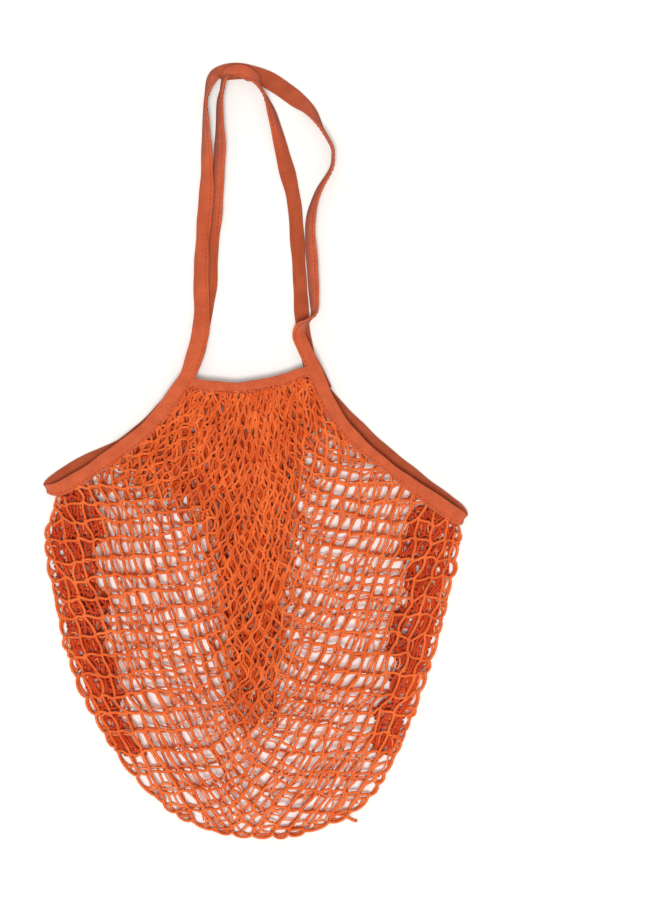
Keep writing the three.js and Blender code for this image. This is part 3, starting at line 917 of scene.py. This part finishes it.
make_tape("tape_knitted", "tape", TAPE, closed=True)
make_tape("tape_end", "tape", LAP, thick=LAP_THICK)
for name, z in (("hem_front", RIM_Z), ("hem_back", LIE_Z)):
    hem = [[x, y, z, HEM_WIDE, 0] for x, y in HEM]
    make_tape(name + "_knitted", name, hem, thick=HEM_THICK)
    paths = [p for side in (-1, 1) for p in stitch_paths(hem, False, False, side, HEM_THICK)]
    make_cords(name + "_stitches", *cords(paths, THREAD_RADIUS, ridge=0.0),
               THREAD, "tape", name)
paths = [p for side in (-1, 1) for p in stitch_paths(TAPE, True, True, side)]
make_cords("tape_stitches", *cords(paths, THREAD_RADIUS, ridge=0.0), THREAD, "tape", "tape")


# ---- The front and the back of the net -----------------------------------------------

STRING_RADIUS = 1.24
STEP = 1.7  # from one ring of a string to the next
AXIS_X = -4  # the line that the net is gathered to
GATHER_HIGH, GATHER_LOW, GATHER_WIDE = 40, 235, 34  # depths where it fades, and its width


def gathered(xy, much):
    """The net drawn together towards the bag's middle line, less and less further down."""
    share = much * (1 - smoothstep(-xy[:, 1], GATHER_HIGH, GATHER_LOW))
    x = xy[:, 0] - AXIS_X
    return np.c_[AXIS_X + x - share * GATHER_WIDE * np.tanh(x / GATHER_WIDE), xy[:, 1]]


def stretched(xy, wide, tall):
    """Meshes made wider and taller, from the top of the middle line."""
    return AXIS_X + (xy[:, 0] - AXIS_X) * wide, MIDDLE_Y + (xy[:, 1] - MIDDLE_Y) * tall


def drawn(xy):
    """The front of the net, which doesn't lie quite even."""
    slack = np.stack([waves(xy, 6), waves(xy, 7)], 1) * 2.4
    slack = slack * smoothstep(nearest(xy, FOLD_LINE), 10, 40)[:, None]
    return crowded(gathered(xy + slack, 0.22))


def leaning(xy):
    """The back of the net has slipped a little against the front, and leans to the right."""
    x, y = stretched(xy, 0.8, 0.88)
    return crowded(gathered(np.c_[x + 0.13 * (y + 150), y - 0.05 * x], 0.3))


front_net = Net(0.0, 21, (0.9, 1.1, 0.3), 0.6, front_height, [FRONT_OUTLINE], drawn)
back_net = Net(0.5, 22, (0.9, 1.1, 0.1), 0.6, level(BACK_Z), [BACK_OUTLINE], leaning,
               low_high=0.25)
front_paths, front_ends = front_net.strings()
back_paths, back_ends = back_net.strings()
arcs = scallops(front_ends, 3.6, 3.2, 31) + scallops(back_ends, 2.6, 1.6, 32)
make_cords("net_front", *cords(front_paths, STRING_RADIUS, STEP), STRING)
make_cords("net_back", *cords(back_paths, STRING_RADIUS * 0.9, STEP), PALE_PAINTED_LIGHT)
make_cords("net_edge", *cords(arcs, STRING_RADIUS * 0.95, STEP), STRING)
make_cords("knots_front", *knot_mesh(*front_net.knots(), 41), STRING)
make_cords("knots_back", *knot_mesh(*back_net.knots(), 42), PALE_PAINTED_LIGHT)


# ---- The layers between them ---------------------------------------------------------

INNER_STEP = 2.0
# Folds of the gathered net in the bag's middle and at its left shoulder, under the front.
GATHERED = np.array([
    (62, 62), (56, 20), (42, 4), (34, -22), (30, -55), (25, -94), (24, -137), (24, -172),
    (20, -208), (8, -238), (-12, -238), (-22, -208), (-27, -172), (-31, -137), (-34, -94),
    (-42, -64), (-62, -46), (-104, -30), (-128, -10), (-94, 22), (-70, 50), (-58, 62),
])
GATHERED_MIDDLE = np.array([AXIS_X, -20])


def squeezed(shift):
    """The same net, with its meshes pushed together sideways and drawn out lengthwise."""
    def warp(xy):
        x, y = stretched(xy, 0.68, 1.1)
        return crowded(np.c_[x + shift, y])
    return warp


def shrunk(loop, share):
    """A loop drawn in towards the middle of the gathered net."""
    return GATHERED_MIDDLE + (loop - GATHERED_MIDDLE) * share


def widened(loop, share):
    """A loop made wider about the line that the net is gathered to, and a little longer."""
    lower = 8 * (share - 1) * (loop[:, 1] < 40)
    return np.c_[AXIS_X + (loop[:, 0] - AXIS_X) * share, loop[:, 1] - lower]


gathers = Net(0.0, 51, (0.6, 2.2, 0.4), 0.55, lambda xy: front_height(xy) + 0.8,
              [FRONT_OUTLINE, GATHERED], pinch=1.12, field=fan)
gather_paths = gathers.strings()[0]
# More of the gathered net beside it, thinner and looser, so that it gives way to the open net.
for n, share in enumerate((1.22, 1.5)):
    beside = Net(0.3 + 0.4 * n, 55 + n, (1.2, 2.0, 0.3), 1.0, between(0.7),
                 [FRONT_OUTLINE, widened(GATHERED, share)], pinch=1.0, field=fan)
    gather_paths += beside.strings()[0][n::2 + n]
make_cords("net_gathers", *cords(gather_paths, STRING_RADIUS * 1.05, INNER_STEP), GATHER_PAINTED_SHADE)

folds = []
for n, (share, height) in enumerate(((0.84, lambda xy: front_height(xy) - 1.8),
                                     (0.9, level(3.9)))):
    layer = Net(0.5 - 0.25 * n, 52 + n, (0.9, 1.6, 0.3), 0.7, height,
                [FRONT_OUTLINE, shrunk(GATHERED, share)], squeezed(2.0 * n), pinch=1.0)
    folds += layer.strings()[0]
make_cords("net_gathers_inside", *cords(folds, STRING_RADIUS, INNER_STEP), INNER_PAINTED_SHADE)

# A third layer of net between the front and the back, where the sides are folded in loosely.
LOOSE_THIN, LOOSE_STEP, LOOSE_LAY = 0.62, 2.6, 14


def sagging(xy):
    x, y = xy[:, 0], xy[:, 1]
    return gathered(np.c_[x * 0.9 - 3, y * 1.02 + 0.06 * x], 0.6)


loose_net = Net(0.25, 71, (1.2, 1.4, 0.3), 0.9, between(0.45), [BACK_OUTLINE], sagging)
loose_paths = loose_net.strings()[0]
make_cords("net_loose", *cords(loose_paths, STRING_RADIUS * LOOSE_THIN, LOOSE_STEP,
                               lay=LOOSE_LAY), PALE_PAINTED_LIGHT)


# ---- The net of both sides, folded in between the front and the back -----------------

SIDE_LOW, SIDE_LEFT_TOP, SIDE_RIGHT_TOP = -262, -34, -48
INNER_EDGE_Y = [-262, -244, -212, -180, -158, -116, -34]
LEFT_INNER_X = [-98, -104, -118, -122, -126, -134, -135]
RIGHT_INNER_X = [96, 100, 112, 115, 117, 126, 130]
EDGE_GAP = 4.5  # the open slots between the edge and the folded net


def side_loop(left):
    """Where the folded net lies at one side, with a ragged inner edge."""
    y = np.linspace(SIDE_LOW, SIDE_LEFT_TOP if left else SIDE_RIGHT_TOP, 70)
    inner = np.interp(y, INNER_EDGE_Y, LEFT_INNER_X if left else RIGHT_INNER_X)
    inner = inner + 4.5 * np.sin(y / 11 + left) + 3 * np.sin(y / 4.3)
    outer = edge_x(y, left) + (EDGE_GAP if left else -EDGE_GAP)
    return np.vstack([np.c_[inner, y], np.c_[outer, y][::-1]])


def bunched(left):
    """The same net, pushed together towards the bag's edge and crumpled."""
    def warp(xy):
        edge = edge_x(xy[:, 1], left)
        x = edge + (xy[:, 0] - edge) * 0.5
        y = xy[:, 1] + 2.2 * np.sin(x / 5.3) + 1.4 * np.sin(xy[:, 1] / 7.7)
        return np.c_[x + 2.0 * np.sin(xy[:, 1] / 6.1), y]
    return warp


folded = []
for left in (True, False):
    for n, share in enumerate((0.2, 0.42, 0.66)):
        layer = Net(0.2 + 0.35 * n, 61 + 2 * n + left, (1.0, 1.0, 0.35), 0.8,
                    between(share), [BACK_OUTLINE, side_loop(left)], bunched(left))
        folded += layer.strings()[0]
make_cords("net_sides", *cords(folded, STRING_RADIUS, INNER_STEP), SIDE_PAINTED_SHADE)

# The loose end of the string at the bottom, and two small loops that stand out at the right.
LOOSE_END = [
    (68, -311.5, 2.4), (73, -313.4, 2.9), (78, -315.2, 2.4), (83, -318, 1.6),
    (86.5, -318.8, 1.4),
]
SMALL_LOOPS = [
    [(129, -222, 3), (133, -220.5, 3.4), (136.6, -223, 3.2), (135.6, -227.5, 2.6),
     (131, -229, 2.2)],
    [(141, -179, 3), (145, -178, 3.4), (148, -181.5, 3.2), (147, -186, 2.6),
     (142.5, -187, 2.2)],
]
strays = [catmull(p, False, np.linspace(0, len(p) - 1, 16))[0]
          for p in [LOOSE_END] + SMALL_LOOPS]
make_cords("net_strays", *cords(strays, STRING_RADIUS, 1.2), STRING)


# ---- Floor, light, camera ------------------------------------------------------------

PIXEL = 0.857  # millimetres to one of the photograph's pixels
FRAME_WIDE, FRAME_HIGH = 660, 900
MIDDLE = (256, 450)  # the pixel over the frame's origin
LENS = 85
SHARP_Z = 0.006  # the height at which a pixel has that size, in metres
FLOOR = 3.0  # half the floor's width, in metres

floor_mesh = bpy.data.meshes.new("floor")
corners = [(-FLOOR, -FLOOR, 0), (FLOOR, -FLOOR, 0), (FLOOR, FLOOR, 0), (-FLOOR, FLOOR, 0)]
floor_mesh.from_pydata(corners, [], [(0, 1, 2, 3)])
floor = bpy.data.objects.new("floor", floor_mesh)
bpy.context.scene.collection.objects.link(floor)
paper, _, shader = material("floor_white")
shader.inputs["Base Color"].default_value = (0.8, 0.78, 0.75, 1)
shader.inputs["Roughness"].default_value = 0.95
shader.inputs["Specular IOR Level"].default_value = 0.0
shader.inputs["Emission Color"].default_value = (1, 0.98, 0.95, 1)
shader.inputs["Emission Strength"].default_value = 0.1
floor_mesh.materials.append(paper)

world = bpy.data.worlds.new("studio")
world.use_nodes = True
background = world.node_tree.nodes["Background"]
background.inputs["Color"].default_value = (1, 1, 1, 1)
background.inputs["Strength"].default_value = 0.6
bpy.context.scene.world = world

light = bpy.data.lights.new("key", "SUN")
light.energy = 2.2
light.angle = math.radians(22)
sun = bpy.data.objects.new("key", light)
bpy.context.scene.collection.objects.link(sun)
sun.rotation_mode = "QUATERNION"
sun.rotation_quaternion = Vector((0.06, 0.34, -1.0)).to_track_quat("-Z", "Y")

camera = bpy.data.cameras.new("camera")
camera.lens = LENS
camera.clip_end = 20
holder = bpy.data.objects.new("camera", camera)
bpy.context.scene.collection.objects.link(holder)
distance = LENS * FRAME_HIGH * PIXEL * MM / camera.sensor_width
holder.location = ((FRAME_WIDE / 2 - MIDDLE[0]) * PIXEL * MM,
                   (MIDDLE[1] - FRAME_HIGH / 2) * PIXEL * MM, distance + SHARP_Z)
holder.rotation_euler = (0, 0, 0)
bpy.context.scene.camera = holder
bpy.context.scene.view_settings.view_transform = "Standard"
